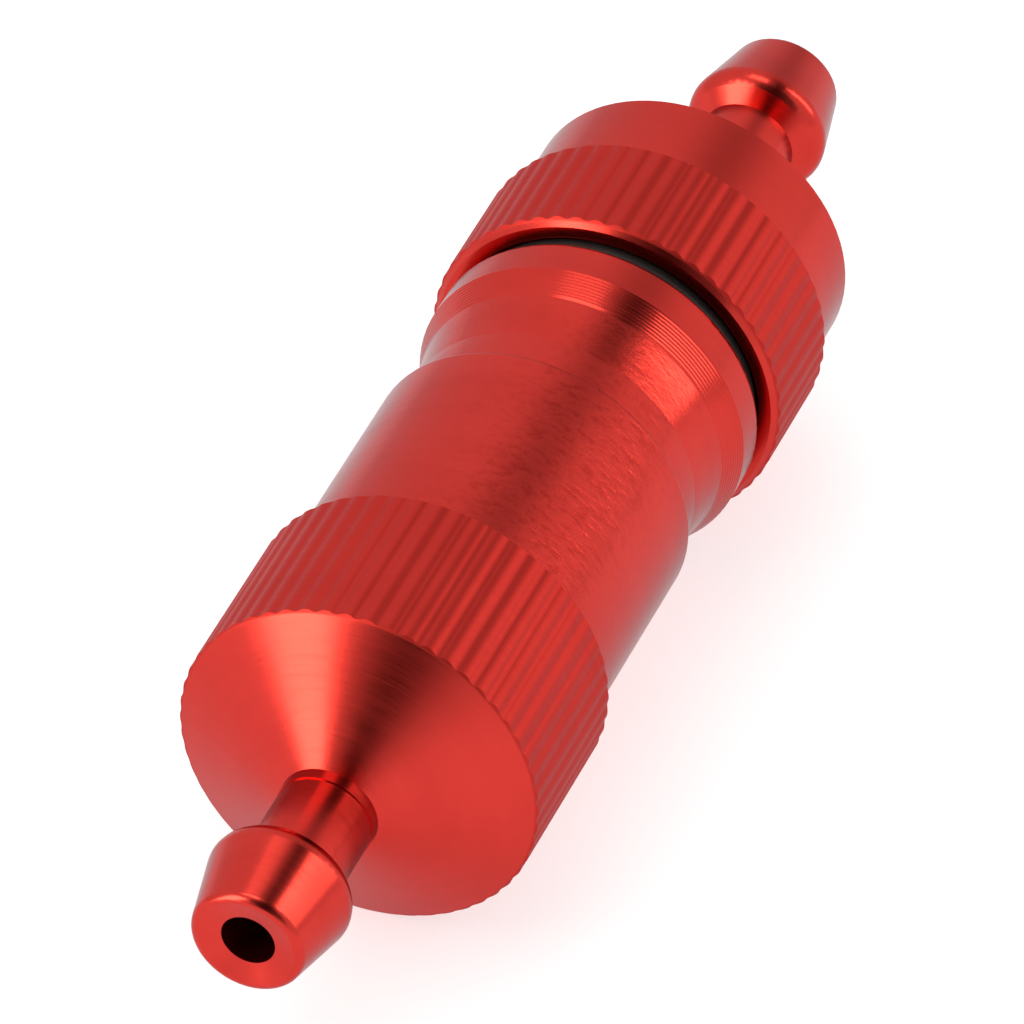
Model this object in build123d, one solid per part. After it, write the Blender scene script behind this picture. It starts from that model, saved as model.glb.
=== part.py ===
from build123d import *
import os
from math import cos, pi, radians, sin, tan

# Inline fuel filter, turned from aluminium: a body and a cap that screw together over an
# O-ring, with a spring-loaded screen cartridge inside. Fuel flows along +X, from the body's
# nipple to the cap's nipple. The origin lies on the axis, halfway between the two tips.
# Everything is in millimetres.

# ---- driving dimensions: outside ----
half_length = 16.8          # middle of the filter to the edge of either end cone
knurl_r = 7.25              # over the knurl's ridges
knurl_depth = 0.07
knurl_count = 54
knurl_bevel = 0.08          # between the end cone and the body's ridges
cone_height = 2.75          # from the knurl's front edge to the neck of the nipple
neck_r = 1.92
neck_root_r = 1.97          # short step where the neck leaves the cone
neck_root_length = 0.5
barb_r = 2.96
barb_at = 7.2               # cone edge to the barb's largest section
barb_shoulder = 0.75        # length of the barb's back slope
barb_round = 0.75
tip_at = 10.7               # cone edge to the tip face
tip_r = 2.22
tip_round = 0.36
bore_r = 1.08
bore_lip = 0.26             # chamfer at the mouth of the bore

body_knurl_length = 7.2
barrel_r = 6.55
barrel_end = 0.42           # x of the barrel's rear edge
barrel_round = 0.22
waist_r = 6.0
waist_end = 2.3             # x where the waist starts to flare
flare_start = 4.4           # x of the line where the flare steepens
flare_start_r = 6.28
tool_marks = 8              # fine lathe grooves on the steep part of the flare
tool_mark_depth = 0.01
flange_front = 5.55
flange_r = 6.74
flange_rear = 7.27
flange_round = 0.35

cap_front = 7.9
cap_bevel = 0.3
cap_knurl_end = 13.05
cap_band_r = 6.63
edge_break = 0.12           # small chamfer on the other turned edges

# ---- driving dimensions: screw joint, M11 x 1 ----
thread_pitch = 1.0
thread_start = 7.3          # the body's helix passes above the axis here; the cap's is half a pitch off
thread_major_r = 5.5
thread_depth = 0.6
thread_crest = 0.125        # flat at the crest
thread_flank = radians(30)  # flank angle from the radial direction
thread_gap = 0.08           # radial gap at the crests and roots
flank_gap = 0.07            # axial gap on each flank
thread_end_bevel = 0.5      # slope of the bevel at a thread's ends
spigot_end = 12.0
spigot_relief_r = 4.85
spigot_relief_end = 8.3
cap_thread_end = 11.9
cap_shoulder = 12.6

# ---- driving dimensions: seal, chamber and cartridge ----
o_ring_inner_r = 4.9
o_ring_outer_r = 6.3
o_ring_corner = 0.45
o_ring_pocket_r = 6.45      # recess in the cap's front face
o_ring_pocket_depth = 0.45
chamber_r = 4.15
chamber_front = -15.6
inlet_cone_r = 1.9
outlet_cone_r = 2.2
passage_cone = 1.3          # length of the cone between a bore and the chamber
seat_r = 4.3                # recess in the cap for the gasket and the collar
seat_face = 13.6
gasket_thickness = 0.5
gap = 0.02                  # left between pieces that touch

core_r = 3.0
core_wall = 0.4
core_front = -7.2
core_rear = 11.9
core_hole_r = 0.65
core_hole_columns = 6
core_hole_rows = 8
core_hole_step = 1.9
mesh_thickness = 0.2
band_length = 1.2
band_thickness = 0.3
plug_r = 3.7
plug_thickness = 1.5
plug_boss = 1.3
collar_r = 4.0
collar_front = 10.4
washer_r = 3.6
washer_thickness = 0.5
washer_hole_r = 1.6
spring_wire_r = 0.24
spring_r = 2.8
spring_turns = 4.5


def turned(points):
    """A solid of revolution about the flow axis, from its half section as (x, radius) points."""
    return revolve(make_face(Polyline(*points, close=True)), Axis.X, 360)


def tube(x_low, x_high, r_inner, r_outer):
    """A plain tube or ring."""
    return turned([(x_low, r_inner), (x_low, r_outer), (x_high, r_outer), (x_high, r_inner)])


def bar(x_low, x_high, radius):
    """A plain round bar."""
    return turned([(x_low, 0), (x_low, radius), (x_high, radius), (x_high, 0)])


def rounded(part, x, edge_r, fillet_r):
    """The part with its circular edge of radius edge_r at x rounded."""
    near = 1e-3
    edges = [
        edge
        for edge in part.edges().filter_by(GeomType.CIRCLE)
        if abs(edge.radius - edge_r) < near and abs(edge.arc_center.X - x) < near
    ]
    return fillet(edges, fillet_r)


def nipple(side):
    """Neck and hose barb on the inlet side (-1) or the outlet side (+1), as a solid bar."""
    root = half_length + cone_height - 0.5
    barb = half_length + barb_at
    tip = half_length + tip_at
    step = half_length + cone_height + neck_root_length
    section = [
        (root, 0),
        (root, neck_root_r),
        (step, neck_root_r),
        (step, neck_r),
        (barb - barb_shoulder, neck_r),
        (barb, barb_r),
        (tip, tip_r),
        (tip, 0),
    ]
    blank = turned([(side * x, r) for x, r in section])
    blank = rounded(blank, side * barb, barb_r, barb_round)
    return rounded(blank, side * tip, tip_r, tip_round)


def passage(side, chamber_x, cone_r):
    """The bore through a nipple, with its lip and the cone where it opens to the inside."""
    tip = half_length + tip_at
    inner = abs(chamber_x)
    section = [
        (tip + 1, 0),
        (tip + 1, bore_r + bore_lip + 1),
        (tip, bore_r + bore_lip),
        (tip - bore_lip, bore_r),
        (inner + passage_cone, bore_r),
        (inner, cone_r),
        (inner - 1, cone_r),
        (inner - 1, 0),
    ]
    return turned([(side * x, r) for x, r in section])


def knurl_cutter(x_low, x_high):
    """Everything outside a straight knurl: shallow rounded ridges and grooves."""
    pitch = 2 * pi / knurl_count
    ridge_half = 0.28 * pitch
    shoulder_r = knurl_r - 0.5 * knurl_depth

    def at(radius, angle):
        return (radius * cos(angle), radius * sin(angle))

    outline = Curve()
    for k in range(knurl_count):
        crest = k * pitch
        root = crest + pitch / 2
        start = at(shoulder_r, crest - ridge_half)
        end = at(shoulder_r, crest + ridge_half)
        after = at(shoulder_r, crest + pitch - ridge_half)
        outline += ThreePointArc(start, at(knurl_r, crest), end)
        outline += ThreePointArc(end, at(knurl_r - knurl_depth, root), after)
    waste = Circle(knurl_r + 2) - make_face(outline)
    return extrude(Plane.YZ.offset(x_low) * waste, x_high - x_low)


def thread_ridge(foot_r, crest_r, crest_width, first, last, x_start):
    """Right-hand 60 degree thread from x = first to x = last, with bevelled ends.

    Its helix starts above the axis at x_start, before the first x. The foot is sunk a little
    into the wall that carries it, which is inside the ridge on the body and outside it in the cap.
    """
    foot_width = crest_width + 2 * abs(crest_r - foot_r) * tan(thread_flank)
    length = last - x_start + thread_pitch
    mean_r = (foot_r + crest_r) / 2
    path = Helix(thread_pitch, length, mean_r, center=(x_start, 0, 0), direction=(1, 0, 0))
    outward = Vector(0, (path @ 0).Y, (path @ 0).Z).normalized()

    def corner(radius, x_offset):
        return Vector(x_start + x_offset, 0, 0) + outward * radius

    section = Polyline(
        corner(foot_r, -foot_width / 2),
        corner(crest_r, -crest_width / 2),
        corner(crest_r, crest_width / 2),
        corner(foot_r, foot_width / 2),
        close=True,
    )
    turns = sweep(make_face(section), path=path, is_frenet=True)
    rise = crest_r - foot_r
    below = foot_r - 0.4 * rise
    above = crest_r + 0.4 * rise
    run = abs(above - below) * thread_end_bevel
    envelope = turned([(first, below), (first + run, above), (last - run, above), (last, below)])
    return turns & envelope


def flare_outline():
    """The steep part of the flare as (x, radius) points, with its fine lathe grooves."""
    steps = 2 * tool_marks + 2
    points = []
    for k in range(steps + 1):
        share = k / steps
        depth = tool_mark_depth if k % 2 and k > 1 else 0
        x = flare_start + share * (flange_front - flare_start)
        r = flare_start_r + share * (flange_r - flare_start_r) - depth
        points.append((x, r))
    return points


def filter_body():
    """Inlet half: nipple, cone, knurl, barrel, waist, flange and threaded spigot."""
    cone_tip = -half_length - cone_height
    knurl_end = -half_length + body_knurl_length
    root_r = thread_major_r - thread_depth
    front = Polyline(
        (cone_tip, 0),
        (cone_tip, neck_root_r),
        (-half_length, knurl_r - knurl_bevel),
        (-half_length + knurl_bevel, knurl_r),
        (knurl_end - edge_break, knurl_r),
        (knurl_end, knurl_r - edge_break),
        (knurl_end, barrel_r),
        (barrel_end, barrel_r),
        (barrel_end, waist_r),
        (waist_end, waist_r),
    )
    hollow_x = (waist_end + flare_start) / 2
    hollow_r = waist_r + 0.42 * (flare_start_r - waist_r)
    flare = ThreePointArc((waist_end, waist_r), (hollow_x, hollow_r), (flare_start, flare_start_r))
    rear = Polyline(
        *flare_outline(),
        (flange_rear, flange_r),
        (flange_rear, spigot_relief_r),
        (spigot_relief_end, spigot_relief_r),
        (spigot_relief_end, root_r),
        (spigot_end - edge_break, root_r),
        (spigot_end, root_r - edge_break),
        (spigot_end, 0),
        (cone_tip, 0),
    )
    body = revolve(make_face(Curve() + [front, flare, rear]), Axis.X, 360)
    body = rounded(body, barrel_end, barrel_r, barrel_round)
    body = rounded(body, flange_rear, flange_r, flange_round)
    body -= knurl_cutter(-half_length - 0.5, knurl_end + 0.1)
    body += nipple(-1)
    body += thread_ridge(
        root_r - gap,
        thread_major_r,
        thread_crest,
        spigot_relief_end + gap,
        spigot_end - edge_break - gap,
        thread_start,
    )
    body -= bar(chamber_front, spigot_end + 1, chamber_r)
    return body - passage(-1, chamber_front, inlet_cone_r)


def filter_cap():
    """Outlet half: threaded skirt with a knurl, plain band, cone and nipple."""
    crest_r = thread_major_r - thread_depth + thread_gap + gap
    groove_r = thread_major_r + thread_gap
    male_width = thread_crest + 2 * (thread_major_r - crest_r) * tan(thread_flank)
    cone_slope = cone_height / (knurl_r - knurl_bevel - neck_root_r)
    cone_edge = half_length + edge_break
    cone_tip = cone_edge + cone_slope * (cap_band_r - edge_break - neck_root_r)
    cap = turned(
        [
            (cap_front, 0),
            (cap_front, knurl_r - cap_bevel),
            (cap_front + cap_bevel, knurl_r),
            (cap_knurl_end - edge_break, knurl_r),
            (cap_knurl_end, knurl_r - edge_break),
            (cap_knurl_end, cap_band_r),
            (half_length, cap_band_r),
            (cone_edge, cap_band_r - edge_break),
            (cone_tip, neck_root_r),
            (cone_tip, 0),
        ]
    )
    cap -= knurl_cutter(cap_front - 0.1, cap_knurl_end + 0.1)
    cap += nipple(1)
    cap -= bar(cap_front - 1, cap_front + o_ring_pocket_depth, o_ring_pocket_r)
    cap -= bar(cap_front, cap_shoulder, groove_r)
    cap -= bar(cap_shoulder - 1, seat_face, seat_r)
    cap += thread_ridge(
        groove_r + gap,
        crest_r,
        thread_pitch - male_width - 2 * flank_gap,
        cap_front + o_ring_pocket_depth + gap,
        cap_thread_end,
        thread_start - thread_pitch / 2,
    )
    return cap - passage(1, seat_face, outlet_cone_r)


def body_o_ring():
    """Rubber ring squeezed between the flange and the cap's recess, around the spigot."""
    front = flange_rear
    rear = cap_front + o_ring_pocket_depth - gap
    ring = tube(front, rear, o_ring_inner_r, o_ring_outer_r)
    for x in (front, rear):
        for edge_r in (o_ring_inner_r, o_ring_outer_r):
            ring = rounded(ring, x, edge_r, o_ring_corner)
    return ring


def screen_core():
    """Perforated brass tube that carries the screen."""
    core = tube(core_front, core_rear, core_r - core_wall, core_r)
    rows_length = (core_hole_rows - 1) * core_hole_step
    mid = (core_front + plug_boss + collar_front) / 2
    drill = Cylinder(core_hole_r, core_r + 1, align=(Align.CENTER, Align.CENTER, Align.MIN))
    holes = []
    for row in range(core_hole_rows):
        x = mid - rows_length / 2 + row * core_hole_step
        for column in range(core_hole_columns):
            turn = (column + 0.5 * (row % 2)) * 360 / core_hole_columns
            holes.append(Pos(x, 0, 0) * Rot(turn, 0, 0) * drill)
    return core - holes


def screen_mesh():
    """The outer shape of the woven screen, wrapped once round the core."""
    return tube(core_front + gap, collar_front - gap, core_r + gap, core_r + gap + mesh_thickness)


def clamp_band(x_low):
    """Thin ring that clamps one end of the screen on the core."""
    inner_r = core_r + 2 * gap + mesh_thickness
    band = tube(x_low, x_low + band_length, inner_r, inner_r + band_thickness)
    for x in (x_low, x_low + band_length):
        band = rounded(band, x, inner_r + band_thickness, 0.1)
    return band


def screen_end_plug():
    """Closed end of the cartridge: a head that meets the spring and a boss inside the core."""
    head_front = core_front - plug_thickness
    boss_r = core_r - core_wall - gap
    return turned(
        [
            (head_front, 0),
            (head_front, plug_r - 0.3),
            (head_front + 0.3, plug_r),
            (core_front - gap, plug_r),
            (core_front - gap, boss_r),
            (core_front + plug_boss - 0.2, boss_r),
            (core_front + plug_boss, boss_r - 0.2),
            (core_front + plug_boss, 0),
        ]
    )


def screen_collar():
    """Open end of the cartridge: it slides in the chamber and seats on the cap's gasket."""
    rear = seat_face - gasket_thickness - 2 * gap
    socket_end = core_rear + gap
    return turned(
        [
            (collar_front, core_r + gap),
            (collar_front, collar_r - 0.3),
            (collar_front + 0.3, collar_r),
            (rear - 0.2, collar_r),
            (rear, collar_r - 0.2),
            (rear, outlet_cone_r),
            (socket_end, outlet_cone_r),
            (socket_end, core_r + gap),
        ]
    )


def collar_gasket():
    """Flat ring in the cap's seat that seals the cartridge's open end."""
    return tube(seat_face - gasket_thickness, seat_face, outlet_cone_r, seat_r - 0.1)


def spring_washer():
    """Thrust washer between the spring and the end plug."""
    rear = core_front - plug_thickness - gap
    return tube(rear - washer_thickness, rear, washer_hole_r, washer_r)


def cartridge_spring():
    """Compression spring between the chamber's end wall and the washer, with plain cut ends."""
    front = chamber_front + spring_wire_r + gap
    rear = core_front - plug_thickness - washer_thickness - 2 * gap - spring_wire_r
    pitch = (rear - front) / spring_turns
    path = Helix(pitch, rear - front, spring_r, center=(front, 0, 0), direction=(1, 0, 0))
    wire = Plane(origin=path @ 0, z_dir=path % 0) * Circle(spring_wire_r)
    return sweep(wire, path=path, is_frenet=True)


parts = {
    "filter_body": filter_body(),
    "filter_cap": filter_cap(),
    "body_o_ring": body_o_ring(),
    "screen_core": screen_core(),
    "screen_mesh": screen_mesh(),
    "front_clamp_band": clamp_band(core_front + 2 * gap),
    "rear_clamp_band": clamp_band(collar_front - band_length - 2 * gap),
    "screen_end_plug": screen_end_plug(),
    "screen_collar": screen_collar(),
    "collar_gasket": collar_gasket(),
    "spring_washer": spring_washer(),
    "cartridge_spring": cartridge_spring(),
}

os.makedirs("parts", exist_ok=True)
for name, part in parts.items():
    part.label = name
    export_step(part, f"parts/{name}.step")
    print(name, round(part.volume, 2), part.is_valid, len(part.solids()))
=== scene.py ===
import math

import bpy
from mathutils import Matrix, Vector


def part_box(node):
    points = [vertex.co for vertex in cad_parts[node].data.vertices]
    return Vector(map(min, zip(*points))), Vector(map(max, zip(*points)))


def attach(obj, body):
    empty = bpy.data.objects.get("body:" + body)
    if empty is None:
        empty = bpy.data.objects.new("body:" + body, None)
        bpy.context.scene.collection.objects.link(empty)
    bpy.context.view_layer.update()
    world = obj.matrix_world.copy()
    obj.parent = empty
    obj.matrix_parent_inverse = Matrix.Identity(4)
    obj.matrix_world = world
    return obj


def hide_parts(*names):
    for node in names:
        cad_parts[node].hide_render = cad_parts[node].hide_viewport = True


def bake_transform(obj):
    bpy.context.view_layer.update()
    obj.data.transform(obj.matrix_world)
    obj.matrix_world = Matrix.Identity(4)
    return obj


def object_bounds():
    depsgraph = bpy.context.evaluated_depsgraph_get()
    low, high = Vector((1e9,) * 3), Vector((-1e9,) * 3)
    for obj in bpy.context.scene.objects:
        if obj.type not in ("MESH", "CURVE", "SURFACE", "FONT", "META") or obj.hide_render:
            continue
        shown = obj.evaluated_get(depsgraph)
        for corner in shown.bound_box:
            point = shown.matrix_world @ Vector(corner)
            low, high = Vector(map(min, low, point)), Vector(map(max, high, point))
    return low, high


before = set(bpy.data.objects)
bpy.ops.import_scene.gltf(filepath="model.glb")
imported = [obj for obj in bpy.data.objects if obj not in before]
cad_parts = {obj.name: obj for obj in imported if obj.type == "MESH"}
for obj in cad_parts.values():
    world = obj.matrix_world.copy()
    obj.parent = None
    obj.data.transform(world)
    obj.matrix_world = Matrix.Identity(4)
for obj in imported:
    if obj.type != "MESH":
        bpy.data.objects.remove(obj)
cad_low, cad_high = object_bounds()

MM = 0.001
WARM = (1, 0.98, 0.78)
WHITE = (1, 1, 1)

# ---- places on the red pieces, in millimetres ----
KNURL_END = -9.5                # just behind the body's knurl
BARREL_END = 0.4
FLARE_START = 4.4
KNURL_ROOT_R = 7.1              # only the knurls reach beyond this radius
CRINKLE_AND_SHADE_TURN = -0.55             # middle of the crinkled patch and its painted shade, in radians about the flow axis

# ---- camera: a long lens, looking down on the inlet nipple ----
CAMERA_AZIMUTH = math.radians(-67.9)
CAMERA_ELEVATION = math.radians(40.36)
CAMERA_DISTANCE = 459.2 * MM
CAMERA_LENS = 421.9
AIM_RIGHT = -0.57 * MM          # the picture's centre, from the middle of the filter
AIM_UP = -0.65 * MM


def look_direction(azimuth, elevation):
    """Unit vector from the filter to a viewer there. Azimuth 0 looks along +Y."""
    flat = math.cos(elevation)
    return Vector((math.sin(azimuth) * flat, -math.cos(azimuth) * flat, math.sin(elevation)))


def add_camera():
    back = look_direction(CAMERA_AZIMUTH, CAMERA_ELEVATION)
    turn = (-back).to_track_quat("-Z", "Y")
    middle = (cad_low + cad_high) / 2
    aim = middle + turn @ Vector((AIM_RIGHT, AIM_UP, 0))
    data = bpy.data.cameras.new("camera")
    data.lens = CAMERA_LENS
    data.sensor_width = 36
    data.clip_start = 0.01
    data.clip_end = 20
    camera = bpy.data.objects.new("camera", data)
    camera.location = aim + back * CAMERA_DISTANCE
    camera.rotation_mode = "QUATERNION"
    camera.rotation_quaternion = turn
    bpy.context.scene.collection.objects.link(camera)
    bpy.context.scene.camera = camera


# ---- node materials ----
class Nodes:
    """A node tree with short ways to add and link nodes."""

    def __init__(self, tree):
        self.tree = tree
        tree.nodes.clear()

    def add(self, kind, **inputs):
        node = self.tree.nodes.new(kind)
        for key, value in inputs.items():
            node.inputs[key.replace("_", " ")].default_value = value
        return node

    def link(self, source, target):
        self.tree.links.new(source, target)

    def feed(self, value, socket):
        """Sets the socket to a constant, or links it to another node's output."""
        if isinstance(value, (int, float, tuple)):
            socket.default_value = value
        else:
            self.link(value, socket)

    def math(self, operation, first, second=0.0):
        node = self.tree.nodes.new("ShaderNodeMath")
        node.operation = operation
        self.feed(first, node.inputs[0])
        self.feed(second, node.inputs[1])
        return node.outputs[0]

    def times(self, first, second):
        return self.math("MULTIPLY", first, second)

    def plus(self, first, second):
        return self.math("ADD", first, second)

    def mapped(self, value, low, high, out_low, out_high, smooth=False):
        node = self.add("ShaderNodeMapRange", From_Min=low, From_Max=high)
        node.inputs["To Min"].default_value = out_low
        node.inputs["To Max"].default_value = out_high
        node.interpolation_type = "SMOOTHSTEP" if smooth else "LINEAR"
        self.link(value, node.inputs["Value"])
        return node.outputs[0]

    def mix(self, factor, first, second):
        node = self.tree.nodes.new("ShaderNodeMix")
        node.data_type = "RGBA"
        self.feed(factor, node.inputs["Factor"])
        colours = [socket for socket in node.inputs if socket.type == "RGBA"]
        self.feed(first, colours[0])
        self.feed(second, colours[1])
        return next(socket for socket in node.outputs if socket.type == "RGBA")

    def noise(self, vector, scale, detail=3.0, roughness=0.6):
        node = self.add("ShaderNodeTexNoise", Scale=scale, Detail=detail, Roughness=roughness)
        self.link(vector, node.inputs["Vector"])
        return node.outputs[0]

    def bump(self, height, distance):
        node = self.add("ShaderNodeBump", Strength=1.0, Distance=distance)
        self.link(height, node.inputs["Height"])
        return node.outputs[0]

    def surface(self, shader):
        output = self.add("ShaderNodeOutputMaterial")
        self.link(shader.outputs[0], output.inputs[0])


class Lathe:
    """Places on a turned piece: x and radius in millimetres, and the turn about the flow axis."""

    def __init__(self, nodes):
        self.nodes = nodes
        place = nodes.add("ShaderNodeTexCoord")
        split = nodes.add("ShaderNodeSeparateXYZ")
        nodes.link(place.outputs["Object"], split.inputs[0])
        self.x = nodes.times(split.outputs[0], 1000)
        y = nodes.times(split.outputs[1], 1000)
        z = nodes.times(split.outputs[2], 1000)
        self.radius = nodes.math("SQRT", nodes.plus(nodes.times(y, y), nodes.times(z, z)))
        self.turn = nodes.math("ARCTAN2", y, z)
        self.sine = nodes.math("DIVIDE", y, self.radius)
        self.cosine = nodes.math("DIVIDE", z, self.radius)

    def space(self, along, round_about):
        """A vector for noise: along per millimetre of profile, round_about per radian of turn."""
        nodes = self.nodes
        profile = nodes.plus(nodes.times(self.x, along), nodes.times(self.radius, 0.8 * along))
        join = nodes.add("ShaderNodeCombineXYZ")
        nodes.link(profile, join.inputs[0])
        nodes.link(nodes.times(self.sine, round_about), join.inputs[1])
        nodes.link(nodes.times(self.cosine, round_about), join.inputs[2])
        return join.outputs[0]


def new_material(name):
    material = bpy.data.materials.new(name)
    material.use_nodes = True
    return material, Nodes(material.node_tree)


def anodised(name):
    """Turned aluminium, dyed red: fine tool marks, a crinkled patch with painted shade on the barrel,
    matt knurls with painted shade.
    """
    material, nodes = new_material(name)
    lathe = Lathe(nodes)
    marks = nodes.noise(lathe.space(7, 2), 1.0)
    crinkles = nodes.noise(lathe.space(4, 11), 1.0)
    cloud = nodes.noise(lathe.space(1, 2), 0.35)

    tone = nodes.mapped(cloud, 0.35, 0.65, 0, 1)
    colour = nodes.mix(tone, (0.55, 0.036, 0.028, 1), (0.60, 0.041, 0.032, 1))
    # the crinkled patch lies along one side of the body, between its knurl and its flare; its darker
    # blotches are painted shade
    behind_knurl = nodes.mapped(lathe.x, KNURL_END - 0.2, KNURL_END + 0.2, 0, 1)
    before_flare = nodes.mapped(lathe.x, FLARE_START - 0.2, FLARE_START + 0.2, 1, 0)
    barrel_more = nodes.mapped(lathe.x, BARREL_END - 0.1, BARREL_END + 0.1, 2.0, 1.3)
    off_patch_middle = nodes.math("ABSOLUTE", nodes.plus(lathe.turn, -CRINKLE_AND_SHADE_TURN))
    crinkle_and_shade = nodes.times(nodes.times(behind_knurl, before_flare), barrel_more)
    crinkle_and_shade = nodes.times(crinkle_and_shade, nodes.mapped(off_patch_middle, 0.2, 0.8, 1, 0.1, smooth=True))
    # painted shade: darker blotches in the patch's red, standing in for dark reflections
    painted_shade = nodes.times(nodes.mapped(crinkles, 0.35, 0.5, 0.22, 0), crinkle_and_shade)
    colour = nodes.mix(painted_shade, colour, (0.36, 0.015, 0.012, 1))
    crinkle_and_shade = nodes.plus(crinkle_and_shade, 0.04)

    on_knurl = nodes.mapped(lathe.radius, KNURL_ROOT_R, KNURL_ROOT_R + 0.07, 0, 1)
    # painted shade: the knurls' red is made darker, besides their extra roughness
    colour = nodes.mix(nodes.times(on_knurl, 0.6), colour, (0.42, 0.022, 0.018, 1))
    roughness = nodes.plus(nodes.mapped(marks, 0.3, 0.7, 0.19, 0.26), nodes.times(on_knurl, 0.26))
    height = nodes.plus(nodes.times(marks, 0.06), nodes.times(crinkles, crinkle_and_shade))

    shader = nodes.add("ShaderNodeBsdfPrincipled", Metallic=1.0)
    shader.inputs["Specular Tint"].default_value = (0.6, 0.76, 0.78, 1)
    shader.inputs["Anisotropic"].default_value = 0.35
    shader.inputs["Anisotropic Rotation"].default_value = 0.25
    nodes.link(colour, shader.inputs["Base Color"])
    nodes.link(roughness, shader.inputs["Roughness"])
    nodes.link(nodes.bump(height, 0.012 * MM), shader.inputs["Normal"])
    tangent = nodes.add("ShaderNodeTangent")
    tangent.direction_type = "RADIAL"
    tangent.axis = "X"
    nodes.link(tangent.outputs[0], shader.inputs["Tangent"])
    nodes.surface(shader)
    return material


def turned_metal(name, dark, light, smooth, rough, scale):
    """A plain metal with marks that run round the flow axis."""
    material, nodes = new_material(name)
    marks = nodes.noise(Lathe(nodes).space(8, 1), scale)
    shader = nodes.add("ShaderNodeBsdfPrincipled", Metallic=1.0)
    nodes.link(nodes.mix(nodes.mapped(marks, 0.35, 0.65, 0, 1), dark, light), shader.inputs["Base Color"])
    nodes.link(nodes.mapped(marks, 0.3, 0.7, smooth, rough), shader.inputs["Roughness"])
    nodes.link(nodes.bump(marks, 0.0012 * MM), shader.inputs["Normal"])
    nodes.surface(shader)
    return material


def rubber(name):
    """Matt black rubber with a fine grain."""
    material, nodes = new_material(name)
    place = nodes.add("ShaderNodeTexCoord")
    grain = nodes.noise(place.outputs["Object"], 9000)
    shader = nodes.add("ShaderNodeBsdfPrincipled")
    tone = nodes.mapped(grain, 0.3, 0.7, 0, 1)
    colour = nodes.mix(tone, (0.004, 0.004, 0.004, 1), (0.009, 0.008, 0.008, 1))
    nodes.link(colour, shader.inputs["Base Color"])
    nodes.link(nodes.mapped(grain, 0.3, 0.7, 0.5, 0.7), shader.inputs["Roughness"])
    nodes.link(nodes.bump(grain, 0.003 * MM), shader.inputs["Normal"])
    nodes.surface(shader)
    return material


def paper_white(name):
    """A pale matt backdrop with a barely uneven tone."""
    material, nodes = new_material(name)
    place = nodes.add("ShaderNodeTexCoord")
    tone = nodes.noise(place.outputs["Object"], 40)
    shader = nodes.add("ShaderNodeBsdfPrincipled", Roughness=0.9)
    nodes.link(nodes.mix(tone, (0.71, 0.71, 0.71, 1), (0.73, 0.73, 0.73, 1)), shader.inputs["Base Color"])
    nodes.surface(shader)
    return material


def dress(materials):
    """Gives each CAD node its material."""
    for name, material in materials.items():
        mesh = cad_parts[name].data
        mesh.materials.clear()
        mesh.materials.append(material)


# ---- wire pieces ----
def round_axis(x, radius, angle):
    """A point at that radius and turn about the flow axis."""
    return Vector((x, radius * math.sin(angle), radius * math.cos(angle)))


def wire_mesh(name, paths, wire_r, sides, closed, material):
    """One mesh of round wires. Each path is a list of points; closed paths join end to end."""
    points = []
    faces = []
    for path in paths:
        first = len(points)
        count = len(path)
        for k, here in enumerate(path):
            before = path[k - 1] if closed or k > 0 else here
            after = path[(k + 1) % count] if closed or k < count - 1 else here
            along = (after - before).normalized()
            across = along.cross(Vector((0, here.y, here.z))).normalized()
            outward = across.cross(along)
            for j in range(sides):
                angle = 2 * math.pi * j / sides
                points.append(here + wire_r * (math.cos(angle) * outward + math.sin(angle) * across))
        spans = count if closed else count - 1
        for k in range(spans):
            ring = first + k * sides
            following = first + (k + 1) % count * sides
            for j in range(sides):
                beside = (j + 1) % sides
                faces.append((ring + j, following + j, following + beside, ring + beside))
        if not closed:
            last = first + (count - 1) * sides
            faces.append(tuple(range(first, first + sides)))
            faces.append(tuple(range(last + sides - 1, last - 1, -1)))
    mesh = bpy.data.meshes.new(name)
    mesh.from_pydata(points, [], faces)
    mesh.polygons.foreach_set("use_smooth", [len(face) == 4 for face in faces])
    mesh.materials.append(material)
    wires = bpy.data.objects.new(name, mesh)
    bpy.context.scene.collection.objects.link(wires)
    return wires


def add_woven_screen(material):
    """The cartridge's wire cloth: lengthwise wires woven over and under wire hoops."""
    low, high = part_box("screen_mesh")
    wire_r = 0.045 * MM
    middle_r = (high.z - low.z) / 2 - 2 * wire_r
    wires_round = 48
    hoops = 42
    first_hoop = low.x + 2 * wire_r
    pitch = (high.x - low.x - 4 * wire_r) / (hoops - 1)
    lengthwise = []
    for i in range(wires_round):
        angle = 2 * math.pi * i / wires_round
        path = [round_axis(low.x, middle_r, angle)]
        for k in range(hoops):
            over = 1 if (i + k) % 2 else -1
            path.append(round_axis(first_hoop + k * pitch, middle_r + over * wire_r, angle))
        path.append(round_axis(high.x, middle_r, angle))
        lengthwise.append(path)
    rings = []
    for k in range(hoops):
        path = []
        for i in range(wires_round):
            over = -1 if (i + k) % 2 else 1
            angle = 2 * math.pi * i / wires_round
            path.append(round_axis(first_hoop + k * pitch, middle_r + over * wire_r, angle))
            path.append(round_axis(first_hoop + k * pitch, middle_r, angle + math.pi / wires_round))
        rings.append(path)
    wires = wire_mesh("woven_screen_wires", lengthwise, wire_r, 6, False, material)
    hoop_wires = wire_mesh("woven_screen_hoops", rings, wire_r, 6, True, material)
    for piece in (wires, hoop_wires):
        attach(piece, "cartridge")
        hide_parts("screen_mesh")


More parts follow.
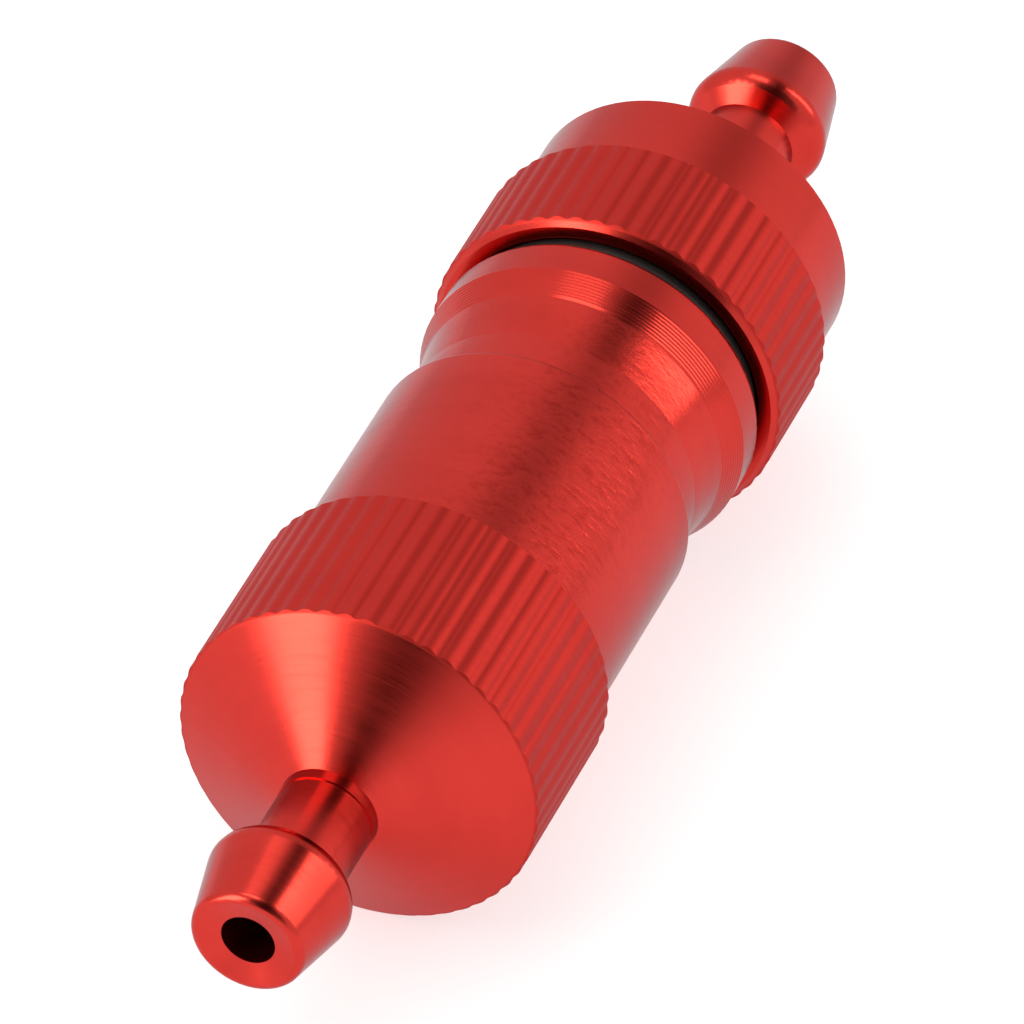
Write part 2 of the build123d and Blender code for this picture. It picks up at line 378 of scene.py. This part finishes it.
def add_coil_spring(material):
    """The cartridge's spring, with a closed coil at each end, from the chamber wall to the washer."""
    low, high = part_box("cartridge_spring")
    wire_r = 0.24 * MM
    coil_r = (high.z - low.z) / 2 - wire_r
    open_turns = 4.5
    turns = open_turns + 2
    steps_per_turn = 36
    start = low.x + wire_r
    end = high.x - wire_r
    closed_rise = 2.04 * wire_r
    open_rise = end - start - 2 * closed_rise
    path = []
    for k in range(int(turns * steps_per_turn) + 1):
        turned = k / steps_per_turn
        if turned < 1:
            x = start + closed_rise * turned
        elif turned < 1 + open_turns:
            x = start + closed_rise + open_rise * (turned - 1) / open_turns
        else:
            x = end - closed_rise * (turns - turned)
        path.append(round_axis(x, coil_r, 2 * math.pi * turned))
    spring = wire_mesh("coil_spring", [path], wire_r, 12, False, material)
    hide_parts("cartridge_spring")
    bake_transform(spring)


# ---- floor and light ----
def add_floor():
    size = 3.0
    z = cad_low.z
    mesh = bpy.data.meshes.new("floor")
    corners = [(-size, -size, z), (size, -size, z), (size, size, z), (-size, size, z)]
    mesh.from_pydata(corners, [], [(0, 1, 2, 3)])
    mesh.materials.append(paper_white("pale_floor"))
    floor = bpy.data.objects.new("floor", mesh)
    bpy.context.scene.collection.objects.link(floor)
    return floor


def add_softbox(name, azimuth, elevation, width, height, brightness, colour, lit):
    """A rectangular lamp facing the filter that lights only the objects in lit.

    Azimuth, elevation, width and height are in degrees, as seen from the filter.
    """
    distance = 0.7
    data = bpy.data.lights.new(name, "AREA")
    data.shape = "RECTANGLE"
    data.size = 2 * distance * math.tan(math.radians(width / 2))
    data.size_y = 2 * distance * math.tan(math.radians(height / 2))
    data.energy = brightness * math.pi * data.size * data.size_y
    data.color = colour
    light = bpy.data.objects.new(name, data)
    back = look_direction(math.radians(azimuth), math.radians(elevation))
    light.location = back * distance
    light.rotation_mode = "QUATERNION"
    light.rotation_quaternion = back.to_track_quat("Z", "Y")
    light.visible_camera = False
    receivers = bpy.data.collections.new("lit_by_" + name)
    for piece in lit:
        receivers.objects.link(piece)
    light.light_linking.receiver_collection = receivers
    bpy.context.scene.collection.objects.link(light)
    return light


def add_lamps(floor):
    """Warm softboxes for the filter, and one wide lamp that keeps the floor pale and even."""
    pieces = [item for item in bpy.context.scene.objects if item.type == "MESH" and item != floor]
    key = {"azimuth": -127, "elevation": 20, "width": 27, "height": 50, "brightness": 6.0}
    side = {"azimuth": 27, "elevation": 30, "width": 11, "height": 46, "brightness": 4.6}
    over = {"azimuth": 166, "elevation": 79, "width": 20, "height": 26, "brightness": 3.0}
    top = {"azimuth": 0, "elevation": 90, "width": 60, "height": 60, "brightness": 3.4}
    add_softbox("key", colour=WARM, lit=pieces, **key)
    add_softbox("side", colour=WARM, lit=pieces, **side)
    add_softbox("over", colour=WARM, lit=pieces, **over)
    floor_lamp = add_softbox("floor_lamp", colour=WHITE, lit=[floor], **top)
    floor_lamp.data.use_shadow = False


def add_surroundings():
    """A white studio, darker in a band over the filter and round the camera."""
    world = bpy.data.worlds.new("studio")
    bpy.context.scene.world = world
    world.use_nodes = True
    nodes = Nodes(world.node_tree)
    place = nodes.add("ShaderNodeTexCoord")
    split = nodes.add("ShaderNodeSeparateXYZ")
    nodes.link(place.outputs["Generated"], split.inputs[0])
    x, y, z = split.outputs
    band_middle = 0.08
    band_half_width = 0.42
    across = nodes.plus(nodes.times(y, 0.914), nodes.times(z, 0.405))
    from_band = nodes.math("ABSOLUTE", nodes.plus(across, -band_middle))
    band = nodes.mapped(from_band, 0, band_half_width, 1, 0, smooth=True)
    above_floor = nodes.mapped(z, -0.05, 0.12, 0, 1, smooth=True)
    depth = nodes.times(above_floor, nodes.mapped(x, 0.35, 0.68, 0.93, 0.4))
    open_sky = nodes.math("SUBTRACT", 1.0, nodes.times(depth, band))
    towards = nodes.add("ShaderNodeVectorMath")
    towards.operation = "DOT_PRODUCT"
    nodes.link(place.outputs["Generated"], towards.inputs[0])
    towards.inputs[1].default_value = look_direction(CAMERA_AZIMUTH, CAMERA_ELEVATION)
    beside_camera = nodes.mapped(towards.outputs["Value"], 0.80, 0.90, 0.96, 0.2, smooth=True)
    light = nodes.add("ShaderNodeBackground", Color=(1, 1, 1, 1))
    nodes.link(nodes.times(open_sky, beside_camera), light.inputs["Strength"])
    output = nodes.add("ShaderNodeOutputWorld")
    nodes.link(light.outputs[0], output.inputs[0])


steel = turned_metal("stainless_steel", (0.52, 0.52, 0.51, 1), (0.66, 0.66, 0.65, 1), 0.22, 0.4, 1.0)
spring_wire = turned_metal("spring_wire", (0.46, 0.46, 0.45, 1), (0.62, 0.62, 0.60, 1), 0.18, 0.3, 0.7)
brass = turned_metal("turned_brass", (0.70, 0.47, 0.17, 1), (0.82, 0.60, 0.27, 1), 0.2, 0.36, 1.0)
black = rubber("black_rubber")
dress(
    {
        "filter_body": anodised("red_anodised_body"),
        "filter_cap": anodised("red_anodised_cap"),
        "body_o_ring": black,
        "collar_gasket": black,
        "screen_core": brass,
        "screen_end_plug": brass,
        "screen_collar": brass,
        "front_clamp_band": steel,
        "rear_clamp_band": steel,
        "spring_washer": steel,
    }
)
add_woven_screen(steel)
add_coil_spring(spring_wire)
add_camera()
add_surroundings()
add_lamps(add_floor())
bpy.context.scene.view_settings.view_transform = "Standard"
